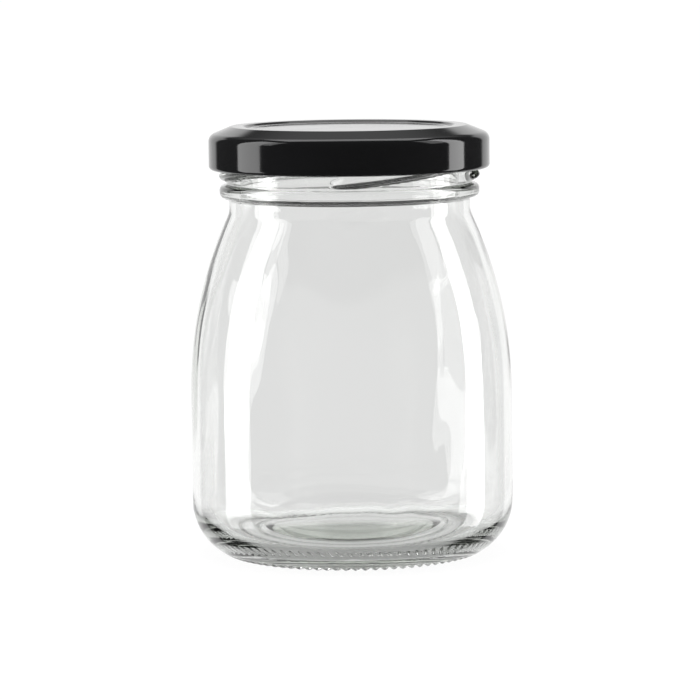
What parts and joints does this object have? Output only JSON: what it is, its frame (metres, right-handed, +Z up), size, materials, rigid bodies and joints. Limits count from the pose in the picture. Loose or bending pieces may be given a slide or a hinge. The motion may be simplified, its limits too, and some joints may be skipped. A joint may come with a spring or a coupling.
{
  "type": "glass pudding jar",
  "caption": "Squat round glass dessert jar with sloping shoulders, a beaded neck with lug threads, and a black metal twist-off lid, closed and empty.",
  "frame": {"origin": "centre of the bearing ring's underside, on the surface that the jar stands on", "axes": "+Z up along the jar's axis through the lid; the first lug thread starts at -Y, the front"},
  "size_m": [0.0698, 0.0696, 0.0926],
  "materials": {
    "glass": "clear moulded flint glass, smooth",
    "lacquer": "gloss black lacquer on tinplate",
    "seal": "soft matt sealing compound"
  },
  "bodies": {
    "root": {"jar": "glass", "lid": "lacquer", "gasket": "seal"}
  },
  "joints": []
}
